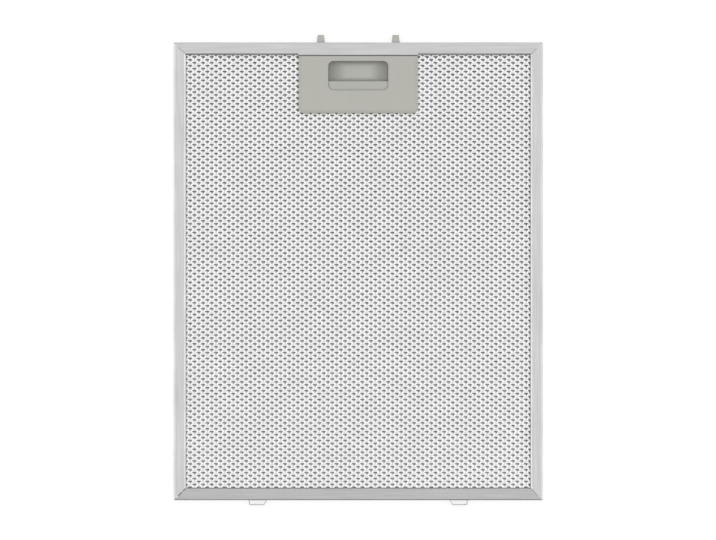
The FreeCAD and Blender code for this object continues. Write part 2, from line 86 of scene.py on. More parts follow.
class Canvas:
    """Adds nodes to one tree and joins them.

    The MIX values are the places of a colour mix's sockets, which share their names with others.
    """

    MIX_FACTOR = 0
    MIX_LOW = 6
    MIX_HIGH = 7
    MIX_RESULT = 2

    def __init__(self, tree: bpy.types.NodeTree) -> None:
        """Keeps the tree that the nodes go into."""
        self.tree = tree

    def feed(self, socket: Socket, value: Feed) -> None:
        """Links an input to an output socket, or sets its own value.

        Args:
            socket: input socket.
            value: an output socket, or a plain value.
        """
        if isinstance(value, Socket):
            self.tree.links.new(value, socket)
        else:
            socket.default_value = value

    def node(self, kind: str, inputs: dict[str | int, Feed], **settings: object) -> bpy.types.Node:
        """Adds a node.

        Args:
            kind: the node's type name.
            inputs: output sockets or plain values, by input name or index.
            settings: properties of the node.

        Returns:
            The new node.
        """
        node = self.tree.nodes.new(kind)
        for name, value in settings.items():
            setattr(node, name, value)
        for key, value in inputs.items():
            self.feed(node.inputs[key], value)
        return node

    def math(self, operation: str, *values: Feed) -> Socket:
        """Adds a Math node.

        Args:
            operation: name of the operation.
            values: its operands.

        Returns:
            The result socket.
        """
        return self.node("ShaderNodeMath", dict(enumerate(values)), operation=operation).outputs[0]

    def between(self, factor: Feed, low: Feed, high: Feed) -> Socket:
        """Adds nodes that go from one number to another.

        Args:
            factor: 0 gives low and 1 gives high.
            low: number at 0.
            high: number at 1.

        Returns:
            The result socket.
        """
        return self.math("MULTIPLY_ADD", factor, self.math("SUBTRACT", high, low), low)

    def rise(self, value: Feed, start: Feed, end: Feed) -> Socket:
        """Adds a smooth rise from 0 to 1.

        Args:
            value: number that the rise follows.
            start: where it is 0.
            end: where it is 1.

        Returns:
            The result socket.
        """
        return self.node(
            "ShaderNodeMapRange", {"Value": value, "From Min": start, "From Max": end},
            interpolation_type="SMOOTHSTEP",
        ).outputs[0]

    def vector(self, x: Feed, y: Feed, z: Feed) -> Socket:
        """Adds a node that joins three numbers to a vector."""
        return self.node("ShaderNodeCombineXYZ", {0: x, 1: y, 2: z}).outputs[0]

    def mix(self, factor: Feed, low: Feed, high: Feed, blend: str = "MIX") -> Socket:
        """Adds a colour mix.

        Args:
            factor: 0 gives low and 1 gives the blend with high.
            low: first colour.
            high: second colour.
            blend: how the second colour is laid on the first.

        Returns:
            The colour socket.
        """
        inputs = {self.MIX_FACTOR: factor, self.MIX_LOW: low, self.MIX_HIGH: high}
        node = self.node("ShaderNodeMix", inputs, data_type="RGBA", blend_type=blend)
        return node.outputs[self.MIX_RESULT]

    def group(self, tree: bpy.types.NodeTree, inputs: dict[str, Feed]) -> dict[str, Socket]:
        """Places a node group.

        Args:
            tree: the group.
            inputs: output sockets or plain values by input name.

        Returns:
            The group's output sockets by name.
        """
        kind = "GeometryNodeGroup" if tree.bl_idname == "GeometryNodeTree" else "ShaderNodeGroup"
        node = self.node(kind, inputs, node_tree=tree)
        return {socket.name: socket for socket in node.outputs}


def new_group(name: str, kind: str, inputs: dict[str, str], outputs: dict[str, str]) -> Canvas:
    """Makes a node group with named sockets.

    Args:
        name: the group's name.
        kind: the tree's type name.
        inputs: socket type by input name.
        outputs: socket type by output name.

    Returns:
        A canvas on the empty group.
    """
    tree = bpy.data.node_groups.new(name, kind)
    for socket_name, socket_type in inputs.items():
        tree.interface.new_socket(socket_name, in_out="INPUT", socket_type=socket_type)
    for socket_name, socket_type in outputs.items():
        tree.interface.new_socket(socket_name, in_out="OUTPUT", socket_type=socket_type)
    return Canvas(tree)


def shade_of(colour: Colour, share: float = 1.0) -> tuple[float, float, float, float]:
    """Opaque colour at a share of its brightness."""
    return (colour[0] * share, colour[1] * share, colour[2] * share, 1.0)


class SurfaceGroups:
    """Shader node groups that the finishes share."""

    CLOUD_DETAIL = 3.0
    GRAIN_DETAIL = 2.0
    MIDDLE_TONE = 0.5

    def __init__(self) -> None:
        """Builds the groups."""
        self.drift = self._drift()
        self.grain = self._grain()
        self.painted_shade = self._painted_shade()

    def _drift(self) -> bpy.types.NodeTree:
        """Builds the cloudy change of tone over a surface.

        Returns:
            The group, whose Tone goes from 0 to 1.
        """
        canvas = new_group(
            "tone_drift", "ShaderNodeTree",
            {
                "Vector": "NodeSocketVector", "Scale": "NodeSocketFloat",
                "Contrast": "NodeSocketFloat",
            },
            {"Tone": "NodeSocketFloat"},
        )
        given = canvas.node("NodeGroupInput", {}).outputs
        noise = canvas.node("ShaderNodeTexNoise", {
            "Vector": given["Vector"], "Scale": given["Scale"], "Detail": self.CLOUD_DETAIL,
        })
        spread = canvas.math("SUBTRACT", noise.outputs["Fac"], self.MIDDLE_TONE)
        tone = canvas.math("MULTIPLY_ADD", spread, given["Contrast"], self.MIDDLE_TONE)
        clamped = canvas.node("ShaderNodeClamp", {"Value": tone}).outputs[0]
        canvas.node("NodeGroupOutput", {"Tone": clamped})
        return canvas.tree

    def _grain(self) -> bpy.types.NodeTree:
        """Builds fine grain, which is drawn out to streaks where its three scales differ.

        Returns:
            The group, whose Mask goes from 0 to 1.
        """
        canvas = new_group(
            "fine_grain", "ShaderNodeTree",
            {"Vector": "NodeSocketVector", "Scale": "NodeSocketVector"},
            {"Mask": "NodeSocketFloat"},
        )
        given = canvas.node("NodeGroupInput", {}).outputs
        drawn = canvas.node(
            "ShaderNodeVectorMath", {0: given["Vector"], 1: given["Scale"]}, operation="MULTIPLY"
        )
        noise = canvas.node("ShaderNodeTexNoise", {
            "Vector": drawn.outputs[0], "Scale": 1.0, "Detail": self.GRAIN_DETAIL,
        })
        canvas.node("NodeGroupOutput", {"Mask": noise.outputs["Fac"]})
        return canvas.tree

    def _painted_shade(self) -> bpy.types.NodeTree:
        """Builds painted shade along the walls and at the ends of a recess, where shade falls.

        Returns:
            The group, whose Mask is 1 where the painted shade is darkest.
        """
        sizes = ("End Start", "End Full", "Lower Wall", "Upper Wall", "Wall Fade", "Rim")
        inputs = {"Vector": "NodeSocketVector"} | {name: "NodeSocketFloat" for name in sizes}
        canvas = new_group("painted_recess_shade", "ShaderNodeTree", inputs, {"Mask": "NodeSocketFloat"})
        given = canvas.node("NodeGroupInput", {}).outputs
        x, y, z = canvas.node("ShaderNodeSeparateXYZ", {0: given["Vector"]}).outputs
        # painted shade: darker towards the recess's ends and its upper and lower walls
        ends = canvas.rise(canvas.math("ABSOLUTE", x), given["End Start"], given["End Full"])
        to_upper = canvas.math("SUBTRACT", given["Upper Wall"], y)
        to_lower = canvas.math("SUBTRACT", y, given["Lower Wall"])
        walls = canvas.math("MINIMUM", to_upper, to_lower)
        shade_peak = canvas.math("MAXIMUM", ends, canvas.rise(walls, given["Wall Fade"], 0.0))
        inside = canvas.math(
            "MULTIPLY", canvas.math("GREATER_THAN", to_lower, 0.0),
            canvas.math("LESS_THAN", z, given["Rim"]),
        )
        canvas.node("NodeGroupOutput", {"Mask": canvas.math("MULTIPLY", shade_peak, inside)})
        return canvas.tree


@dataclass(frozen=True)
class Finish:
    """What the finishes have in common.

    Attributes:
        name: the material's name.
        colour: linear base colour.
        metallic: 1 for bare metal.
        smoothest: lowest roughness.
        roughest: highest roughness.
        drift_scale: clouds of tone per metre.
        drift_share: how much darker the darkest clouds are.
        grain_scale: grains per metre along X, Y and Z.
        grain_share: how much lighter and darker the grain is.
        grain_height: height of the grain in metres.
    """

    name: str
    colour: Colour
    metallic: float
    smoothest: float
    roughest: float
    drift_scale: float
    drift_share: float
    grain_scale: Triple
    grain_share: float
    grain_height: float

    DRIFT_CONTRAST = 2.5

    def place(self, canvas: Canvas) -> Socket:
        """Object coordinates that the grain follows."""
        return canvas.node("ShaderNodeTexCoord", {}).outputs["Object"]

    def tint(
        self, canvas: Canvas, groups: SurfaceGroups, place: Socket, colour: Socket
    ) -> Socket:
        """Last change to the base colour, which here is none."""
        return colour

    def material(self, groups: SurfaceGroups) -> bpy.types.Material:
        """Builds the material.

        Args:
            groups: shared node groups.

        Returns:
            The material.
        """
        material = bpy.data.materials.new(self.name)
        material.use_nodes = True
        material.diffuse_color = shade_of(self.colour)
        canvas = Canvas(material.node_tree)
        surface = material.node_tree.nodes["Principled BSDF"]
        surface.inputs["Metallic"].default_value = self.metallic
        place = self.place(canvas)
        tone = canvas.group(groups.drift, {
            "Vector": place, "Scale": self.drift_scale, "Contrast": self.DRIFT_CONTRAST,
        })["Tone"]
        grain = canvas.group(groups.grain, {"Vector": place, "Scale": self.grain_scale})["Mask"]
        grained = canvas.mix(
            grain,
            shade_of(self.colour, 1 - self.grain_share),
            shade_of(self.colour, 1 + self.grain_share),
        )
        clouds = canvas.mix(tone, shade_of(WHITE, 1 - self.drift_share), shade_of(WHITE))
        colour = self.tint(canvas, groups, place, canvas.mix(1.0, grained, clouds, "MULTIPLY"))
        canvas.feed(surface.inputs["Base Color"], colour)
        canvas.feed(
            surface.inputs["Roughness"], canvas.between(tone, self.roughest, self.smoothest)
        )
        bump = canvas.node(
            "ShaderNodeBump", {"Strength": 1.0, "Distance": self.grain_height, "Height": grain}
        )
        canvas.feed(surface.inputs["Normal"], bump.outputs[0])
        return material


@dataclass(frozen=True)
class RolledStrip(Finish):
    """Mill finish whose roll grain runs along each side of the mitred frame.

    Attributes:
        half_width: half of the frame's width.
        half_height: half of the frame's height.
        middle_y: Y of the frame's middle.
        upper_painted_shade: painted shade: tone of the upper side against that of the long sides.
        lower_painted_shade: painted shade: tone of the lower side against that of the long sides.
    """

    half_width: float
    half_height: float
    middle_y: float
    upper_painted_shade: float
    lower_painted_shade: float

    def sides(self, canvas: Canvas) -> tuple[Socket, Socket, Socket, Socket]:
        """Finds which side of the frame a point is on.

        Args:
            canvas: the material's canvas.

        Returns:
            X, Y from the frame's middle, Z, and 1 on the upper and lower sides.
        """
        place = canvas.node("ShaderNodeTexCoord", {}).outputs["Object"]
        x, y, z = canvas.node("ShaderNodeSeparateXYZ", {0: place}).outputs
        y = canvas.math("SUBTRACT", y, self.middle_y)
        side_gap = canvas.math("SUBTRACT", self.half_width, canvas.math("ABSOLUTE", x))
        end_gap = canvas.math("SUBTRACT", self.half_height, canvas.math("ABSOLUTE", y))
        return x, y, z, canvas.math("LESS_THAN", end_gap, side_gap)

    def place(self, canvas: Canvas) -> Socket:
        """Coordinates along the side, across it and through it."""
        x, y, z, on_end = self.sides(canvas)
        return canvas.vector(canvas.between(on_end, y, x), canvas.between(on_end, x, y), z)

    def tint(
        self, canvas: Canvas, groups: SurfaceGroups, place: Socket, colour: Socket
    ) -> Socket:
        """Paints shade on the upper and lower sides, the lower one darkest.

        Args:
            canvas: the material's canvas.
            groups: shared node groups; not used.
            place: coordinates along the sides; not used.
            colour: the base colour so far.

        Returns:
            The base colour.
        """
        _, y, _, on_end = self.sides(canvas)
        # painted shade: the upper and lower sides darker than the long sides, the lower one most
        lower = canvas.math("LESS_THAN", y, 0.0)
        end_painted_shade = canvas.between(lower, self.upper_painted_shade, self.lower_painted_shade)
        return canvas.mix(1.0, colour, canvas.between(on_end, 1.0, end_painted_shade), "MULTIPLY")


@dataclass(frozen=True)
class Recess:
    """Recess that gets painted shade at its ends and along its walls.

    Attributes:
        end_start: distance from the middle along X where the painted shade at the ends begins.
        end_full: distance from the middle along X where it is darkest.
        lower_y: Y of the lower wall.
        upper_y: Y of the upper wall.
        wall_fade: how far the painted shade reaches from those walls.
        rim_z: Z that the painted shade stays under.
        painted_shade_share: how much darker the painted shade makes the plastic.
    """

    end_start: float
    end_full: float
    lower_y: float
    upper_y: float
    wall_fade: float
    rim_z: float
    painted_shade_share: float


@dataclass(frozen=True)
class PaintedShadePlastic(Finish):
    """Moulded plastic with painted shade in a recess, where shade falls.

    Attributes:
        recess: where the painted shade is.
    """

    recess: Recess

    def tint(
        self, canvas: Canvas, groups: SurfaceGroups, place: Socket, colour: Socket
    ) -> Socket:
        """Paints shade in the recess, darker at its ends and along its walls.

        Args:
            canvas: the material's canvas.
            groups: shared node groups.
            place: object coordinates.
            colour: the base colour so far.

        Returns:
            The base colour.
        """
        recess = self.recess
        mask = canvas.group(groups.painted_shade, {
            "Vector": place, "End Start": recess.end_start, "End Full": recess.end_full,
            "Lower Wall": recess.lower_y, "Upper Wall": recess.upper_y,
            "Wall Fade": recess.wall_fade, "Rim": recess.rim_z,
        })["Mask"]
        # painted shade: the mask darkens the plastic in the recess
        tone = canvas.between(mask, 1.0, 1 - recess.painted_shade_share)
        return canvas.mix(1.0, colour, tone, "MULTIPLY")


@dataclass(frozen=True)
class StrandPattern:
    """Diamond pattern of an expanded sheet.

    Attributes:
        long_pitch: from bond to bond along a row.
        short_pitch: from bond to bond across the rows.
        strand_width: width of a strand.
        gauge: thickness of the sheet that was slit.
        lean: angle of the strands out of the sheet's plane.
        low_bond: length of the bond below a strand.
        high_bond: length of the bond above a strand.
    """

    long_pitch: float
    short_pitch: float
    strand_width: float
    gauge: float
    lean: float
    low_bond: float
    high_bond: float

    POINTS = 4
    SOCKETS = {
        "Long Pitch": "long_pitch", "Short Pitch": "short_pitch", "Strand Width": "strand_width",
        "Gauge": "gauge", "Lean": "lean", "Low Bond": "low_bond", "High Bond": "high_bond",
    }

    def sockets(self) -> dict[str, float]:
        """Sizes by the names that the node trees give them."""
        return {name: getattr(self, size) for name, size in self.SOCKETS.items()}

    def point_x(self, index: int) -> float:
        """X of a point on a strand.

        Args:
            index: number of the point, four to a long pitch.

        Returns:
            Its distance from the strand's start.
        """
        period, step = divmod(index, self.POINTS)
        high = step >= self.POINTS / 2
        bond = self.high_bond if high else self.low_bond
        return (period + high / 2) * self.long_pitch + (bond / 2 if step % 2 else -bond / 2)


@dataclass(frozen=True)
class StrandField:
    """Rectangle of a sheet that strands run across.

    Attributes:
        name: which part of the sheet it is.
        first_point: number of its strands' first point.
        points: how many points a strand has.
        first_row: number of its lowest row.
        rows: how many rows it has.
    """

    name: str
    first_point: int
    points: int
    first_row: int
    rows: int

    def course(self, parity: int) -> tuple[int, int]:
        """Picks the rows that start alike.

        Args:
            parity: 0 for the even rows and 1 for the odd ones.

        Returns:
            Number of the first such row, and how many there are.
        """
        first = self.first_row + (self.first_row + parity) % 2
        return first, max(0, (self.first_row + self.rows - first + 1) // 2)


class StrandTrees:
    """Geometry node trees of an expanded sheet."""

    PATTERN = tuple(StrandPattern.SOCKETS)
    FIELDS = ("Lower", "Left", "Right")
    COURSES = (0, 1)
    SHARPEST_BEND = math.radians(60)

    def __init__(self) -> None:
        """Builds the trees."""
        self.course = self._course()
        self.sheet = self._sheet()

    def _strand_point(self, canvas: Canvas, given: dict[str, Socket]) -> tuple[Socket, Socket]:
        """Places the points of one strand, which steps from bond to bond.

        Args:
            canvas: canvas on the course's tree.
            given: the tree's inputs.

        Returns:
            The position socket, and how much longer the section is across a bend.
        """
        points = StrandPattern.POINTS
        half_turn = canvas.math("MULTIPLY", given["Odd"], points / 2)
        index = canvas.node("GeometryNodeInputIndex", {}).outputs[0]
        number = canvas.math("ADD", canvas.math("ADD", index, given["First Point"]), half_turn)
        period = canvas.math("FLOOR", canvas.math("DIVIDE", number, points))
        step = canvas.math("SUBTRACT", number, canvas.math("MULTIPLY", period, points))
        high = canvas.math("GREATER_THAN", step, points / 2 - 0.5)
        end = canvas.math("SUBTRACT", canvas.math("MODULO", step, 2.0), 0.5)
        bond = canvas.between(high, given["Low Bond"], given["High Bond"])
        halves = canvas.math("SUBTRACT", high, given["Odd"])
        pitches = canvas.math("MULTIPLY_ADD", halves, 0.5, period)
        from_bond = canvas.math("MULTIPLY", end, bond)
        x = canvas.math("MULTIPLY_ADD", pitches, given["Long Pitch"], from_bond)
        level = canvas.math("SUBTRACT", high, 0.5)
        reach = canvas.math("MULTIPLY", given["Strand Width"], canvas.math("COSINE", given["Lean"]))
        rise = canvas.math("MULTIPLY", given["Strand Width"], canvas.math("SINE", given["Lean"]))
        less_reach = canvas.math("MULTIPLY", reach, -1.0)
        climb = canvas.math("MULTIPLY_ADD", given["Short Pitch"], 0.5, less_reach)
        bonds = canvas.math("ADD", given["Low Bond"], given["High Bond"])
        run = canvas.math("MULTIPLY", canvas.math("SUBTRACT", given["Long Pitch"], bonds), 0.5)
        half_bend = canvas.math("MULTIPLY", canvas.math("ARCTAN2", climb, run), 0.5)
        mitre = canvas.math("DIVIDE", 1.0, canvas.math("COSINE", half_bend))
        y = canvas.math("MULTIPLY", level, climb)
        return canvas.vector(x, y, canvas.math("MULTIPLY", level, rise)), mitre

    def _course(self) -> bpy.types.NodeTree:
        """Builds rows of strands that start alike.

        Returns:
            The tree.
        """
        inputs = {name: "NodeSocketFloat" for name in self.PATTERN}
        inputs |= {name: "NodeSocketInt" for name in ("First Point", "Points", "Odd", "Rows")}
        inputs |= {"Start": "NodeSocketVector"}
        canvas = new_group(
            "strand_course", "GeometryNodeTree", inputs, {"Strands": "NodeSocketGeometry"}
        )
        sockets = canvas.node("NodeGroupInput", {}).outputs
        given = {socket.name: socket for socket in sockets}
        line = canvas.node("GeometryNodeMeshLine", {"Count": given["Points"]})
        position, mitre = self._strand_point(canvas, given)
        stepped = canvas.node("GeometryNodeSetPosition", {
            "Geometry": line.outputs[0], "Position": position,
        })
        path = canvas.node("GeometryNodeMeshToCurve", {"Mesh": stepped.outputs[0]})
        upright = canvas.node(
            "GeometryNodeSetCurveNormal", {"Curve": path.outputs[0]}, mode="Z_UP"
        )
        section = canvas.node("GeometryNodeCurvePrimitiveQuadrilateral", {
            "Width": given["Strand Width"], "Height": given["Gauge"],
        })
        turn = canvas.vector(0.0, 0.0, canvas.math("MULTIPLY", given["Lean"], -1.0))
        leaning = canvas.node("GeometryNodeTransform", {
            "Geometry": section.outputs[0], "Rotation": turn,
        })
        strand = canvas.node("GeometryNodeCurveToMesh", {
            "Curve": upright.outputs[0], "Profile Curve": leaning.outputs[0], "Scale": mitre,
            "Fill Caps": True,
        })
        angle = canvas.node("GeometryNodeInputMeshEdgeAngle", {}).outputs["Unsigned Angle"]
        edged = canvas.node("GeometryNodeSetShadeSmooth", {
            "Geometry": strand.outputs[0], "Shade Smooth": False,
            "Selection": canvas.math("GREATER_THAN", angle, self.SHARPEST_BEND),
        }, domain="EDGE")
        rows = canvas.node("GeometryNodeMeshLine", {
            "Count": given["Rows"], "Start Location": given["Start"],
            "Offset": canvas.vector(0.0, given["Short Pitch"], 0.0),
        })
        placed = canvas.node("GeometryNodeInstanceOnPoints", {
            "Points": rows.outputs[0], "Instance": edged.outputs[0],
        })
        canvas.node("NodeGroupOutput", {"Strands": placed.outputs[0]})
        return canvas.tree

    def _sheet(self) -> bpy.types.NodeTree:
        """Builds a sheet from the fields below and beside the handle.

        Returns:
            The tree.
        """
        inputs = {name: "NodeSocketFloat" for name in self.PATTERN}
        for field in self.FIELDS:
            inputs |= {f"{field} {name}": "NodeSocketInt" for name in ("First Point", "Points")}
            for course in self.COURSES:
                inputs[f"{field} Rows {course}"] = "NodeSocketInt"
                inputs[f"{field} Start {course}"] = "NodeSocketVector"
        inputs["Metal"] = "NodeSocketMaterial"
        canvas = new_group(
            "expanded_sheet", "GeometryNodeTree", inputs, {"Sheet": "NodeSocketGeometry"}
        )
        given = canvas.node("NodeGroupInput", {}).outputs
        joined = canvas.node("GeometryNodeJoinGeometry", {})
        for field in self.FIELDS:
            for course in self.COURSES:
                values = {name: given[name] for name in self.PATTERN}
                values |= {name: given[f"{field} {name}"] for name in ("First Point", "Points")}
                values |= {name: given[f"{field} {name} {course}"] for name in ("Rows", "Start")}
                strands = canvas.group(self.course, values | {"Odd": course})["Strands"]
                canvas.tree.links.new(strands, joined.inputs[0])
        real = canvas.node("GeometryNodeRealizeInstances", {"Geometry": joined.outputs[0]})
        dressed = canvas.node("GeometryNodeSetMaterial", {
            "Geometry": real.outputs[0], "Material": given["Metal"],
        })
        canvas.node("NodeGroupOutput", {"Sheet": dressed.outputs[0]})
        return canvas.tree


@dataclass
class ExpandedSheet:
    """One sheet of expanded metal, with the notch that the handle sits in.

    Attributes:
        name: the piece's name.
        node: the CAD sheet that it stands for.
        pattern: its diamonds.
        facing: the side that its strands face.
        notch_half_width: half of the notch's width.
        notch_bottom: Y of the notch's lower edge.
        shift: share of a pitch that the pattern is moved by, along X and Y.
        start: share of a pitch from the sheet's corner to the first bond, along X and Y.
        edge_room: room left at the sheet's edges.
    """

    name: str
    node: str
    pattern: StrandPattern
    facing: Facing
    notch_half_width: float
    notch_bottom: float
    shift: tuple[float, float] = (0.0, 0.0)
    start: tuple[float, float] = (0.5, 0.25)
    edge_room: float = 0.5 * MM

    SPARE_PITCHES = 2

    def _origin(self) -> Vector:
        """Start of the lowest row's strands.

        Returns:
            The point that the strands' numbers count from.
        """
        low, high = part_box(self.node)
        x = low.x + self.edge_room + (self.start[0] + self.shift[0]) * self.pattern.long_pitch
        y = low.y + self.edge_room + (self.start[1] + self.shift[1]) * self.pattern.short_pitch
        return Vector((x, y, (low.z + high.z) / 2))

    def _span(self, low_x: float, high_x: float) -> tuple[int, int]:
        """Counts the points between two edges.

        Args:
            low_x: the left edge.
            high_x: the right edge.

        Returns:
            Number of the first point and how many there are.
        """
        low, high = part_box(self.node)
        first_x = self._origin().x
        room = self.edge_room
        pitches = math.ceil((high.x - low.x) / self.pattern.long_pitch) + self.SPARE_PITCHES
        points = StrandPattern.POINTS
        inside = [
            number for number in range(-self.SPARE_PITCHES * points, pitches * points)
            if low_x + room <= first_x + self.pattern.point_x(number) <= high_x - room
        ]
        return inside[0], len(inside)

    def fields(self) -> Iterator[StrandField]:
        """Divides the sheet round the notch.

        Yields:
            The fields below, left and right of it.
        """
        low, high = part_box(self.node)
        step = self.pattern.short_pitch / 2
        bottom = self._origin().y - step / 2
        rows = int((high.y - self.edge_room - bottom) / step)
        below = int((self.notch_bottom - bottom) / step)
        yield StrandField("Lower", *self._span(low.x, high.x), 0, below)
        yield StrandField("Left", *self._span(low.x, -self.notch_half_width), below, rows - below)
        yield StrandField("Right", *self._span(self.notch_half_width, high.x), below, rows - below)

    def _sockets(self, metal: bpy.types.Material) -> dict[str, object]:
        """Collects the tree's inputs.

        Args:
            metal: the sheet's material.

        Returns:
            Values by input name.
        """
        values: dict[str, object] = dict(self.pattern.sockets())
        values["Lean"] = self.pattern.lean * self.facing.value
        origin = self._origin()
        for field in self.fields():
            values[f"{field.name} First Point"] = field.first_point
            values[f"{field.name} Points"] = field.points
            for course in StrandTrees.COURSES:
                first, rows = field.course(course)
                values[f"{field.name} Rows {course}"] = rows
                values[f"{field.name} Start {course}"] = (
                    origin.x, origin.y + first * self.pattern.short_pitch / 2, origin.z
                )
        values["Metal"] = metal
        return values

    def build(self, trees: StrandTrees, metal: bpy.types.Material) -> bpy.types.Object:
        """Builds the sheet and puts it in its CAD node's place.

        Args:
            trees: geometry node trees.
            metal: the sheet's material.

        Returns:
            The sheet.
        """
        piece = bpy.data.objects.new(self.name, bpy.data.meshes.new(self.name))
        bpy.context.scene.collection.objects.link(piece)
        modifier = piece.modifiers.new("strands", "NODES")
        modifier.node_group = trees.sheet
        values = self._sockets(metal)
        for socket in trees.sheet.interface.items_tree:
            if socket.in_out == "INPUT":
                modifier[socket.identifier] = values[socket.name]
        evaluated = piece.evaluated_get(bpy.context.evaluated_depsgraph_get())
        mesh = bpy.data.meshes.new_from_object(evaluated)
        piece.modifiers.remove(modifier)
        piece.data = mesh
        mesh.name = self.name
        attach(piece, "filter")
        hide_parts(self.node)
        return piece


@dataclass
class LatchSpring:
    """Bowed leaf that pushes the slide out.

    Attributes:
        leaf_gauge: thickness of the leaf.
        curl_radius: radius of its curled ends.
        curl_turn: angle that they are curled by.
        steps: straight runs in the bow.
        curl_steps: straight runs in each curl.
        pressed_share: what is left of the bow with the slide pulled back; not used.
    """

    leaf_gauge: float = 0.4 * MM
    curl_radius: float = 0.5 * MM
    curl_turn: float = math.radians(200)
    steps: int = 48
    curl_steps: int = 8
    pressed_share: float = 0.14

    def _line(self, low: Vector, high: Vector) -> list[Vector]:
        """Follows the middle of the leaf.

        Args:
            low: lowest corner of the spring's box.
            high: highest corner of the spring's box.

        Returns:
            Points from the left end to the right end.
        """
        half_gauge = self.leaf_gauge / 2
        reach = high.x - half_gauge - self.curl_radius
        foot = low.y + half_gauge + 2 * self.curl_radius
        crown = high.y - half_gauge
        points = []
        for step in range(self.steps + 1):
            share = 2 * step / self.steps - 1
            rise = (1 + math.cos(math.pi * share)) / 2
            points.append(Vector((share * reach, foot + (crown - foot) * rise, 0)))
        curl = []
        for step in range(1, self.curl_steps + 1):
            angle = self.curl_turn * step / self.curl_steps
            curl.append(Vector((
                self.curl_radius * math.sin(angle), self.curl_radius * (math.cos(angle) - 1), 0
            )))
        right = [points[-1] + turn for turn in curl]
        left = [points[0] + Vector((-turn.x, turn.y, 0)) for turn in reversed(curl)]
        return left + points + right

    def finish(self) -> Finish:
        """Finish of the leaf.

        Returns:
            The finish.
        """
        return Finish(
            name="spring_steel", colour=(0.5, 0.5, 0.52), metallic=1.0,
            smoothest=0.25, roughest=0.35, drift_scale=200.0, drift_share=0.15,
            grain_scale=(200.0, 4000.0, 4000.0), grain_share=0.06, grain_height=2e-6,
        )

    def build(self, groups: SurfaceGroups) -> Iterator[str]:
        """Builds the leaf and puts it in its CAD node's place.

        Args:
            groups: shared node groups.

        Yields:
            A line about the leaf.
        """
        low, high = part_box("latch_spring")
        line = self._line(low, high)
        form = bmesh.new()
        rings = []
        for index, point in enumerate(line):
            ahead = line[min(index + 1, len(line) - 1)] - line[max(index - 1, 0)]
            side = Vector((-ahead.y, ahead.x, 0)).normalized() * (self.leaf_gauge / 2)
            rings.append([
                form.verts.new((point + side * sign).to_tuple()[:2] + (z,))
                for sign, z in ((1, low.z), (1, high.z), (-1, high.z), (-1, low.z))
            ])
        for ring, after in zip(rings, rings[1:]):
            for corner in range(len(ring)):
                following = (corner + 1) % len(ring)
                form.faces.new((ring[corner], ring[following], after[following], after[corner]))
        form.faces.new(reversed(rings[0]))
        form.faces.new(rings[-1])
        bmesh.ops.recalc_face_normals(form, faces=form.faces)
        mesh = bpy.data.meshes.new("leaf_spring")
        form.to_mesh(mesh)
        form.free()
        mesh.materials.append(self.finish().material(groups))
        piece = bpy.data.objects.new("leaf_spring", mesh)
        bpy.context.scene.collection.objects.link(piece)
        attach(piece, "filter")
        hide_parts("latch_spring")
        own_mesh(piece)
        yield f"{piece.name}: {len(mesh.polygons)} faces"


def dress(node: str, material: bpy.types.Material) -> str:
    """Gives a CAD node its finish.

    Args:
        node: the node's name.
        material: its finish.

    Returns:
        A line about the node.
    """
    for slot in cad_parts[node].material_slots:
        slot.material = material
    return f"{node}: {material.name}"


@dataclass
class FrameChannel:
    """Aluminium strip folded round the filter.

    Attributes:
        upper_painted_shade: painted shade: tone of the upper side against that of the long sides.
        lower_painted_shade: painted shade: tone of the lower side against that of the long sides.
    """

    # painted shade on the frame's upper and lower sides
    upper_painted_shade: float = 0.95
    lower_painted_shade: float = 0.8

    def finish(self) -> RolledStrip:
        """Finish of the strip, which follows the frame's sides.

        Returns:
            The finish.
        """
        _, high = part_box("frame_channel")
        mesh_low, mesh_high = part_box("mesh_front")
        lower_edge = mesh_low.y - (high.x - mesh_high.x)
        return RolledStrip(
            name="rolled_aluminium_strip", colour=(0.81, 0.81, 0.81), metallic=1.0,
            smoothest=0.32, roughest=0.46, drift_scale=35.0, drift_share=0.13,
            grain_scale=(28.0, 900.0, 900.0), grain_share=0.2, grain_height=4e-6,
            half_width=high.x, half_height=(high.y - lower_edge) / 2,
            middle_y=(high.y + lower_edge) / 2,
            upper_painted_shade=self.upper_painted_shade, lower_painted_shade=self.lower_painted_shade,
        )

    def build(self, groups: SurfaceGroups) -> Iterator[str]:
        """Dresses the frame.

        Args:
            groups: shared node groups.

        Yields:
            A line about the frame.
        """
        yield dress("frame_channel", self.finish().material(groups))


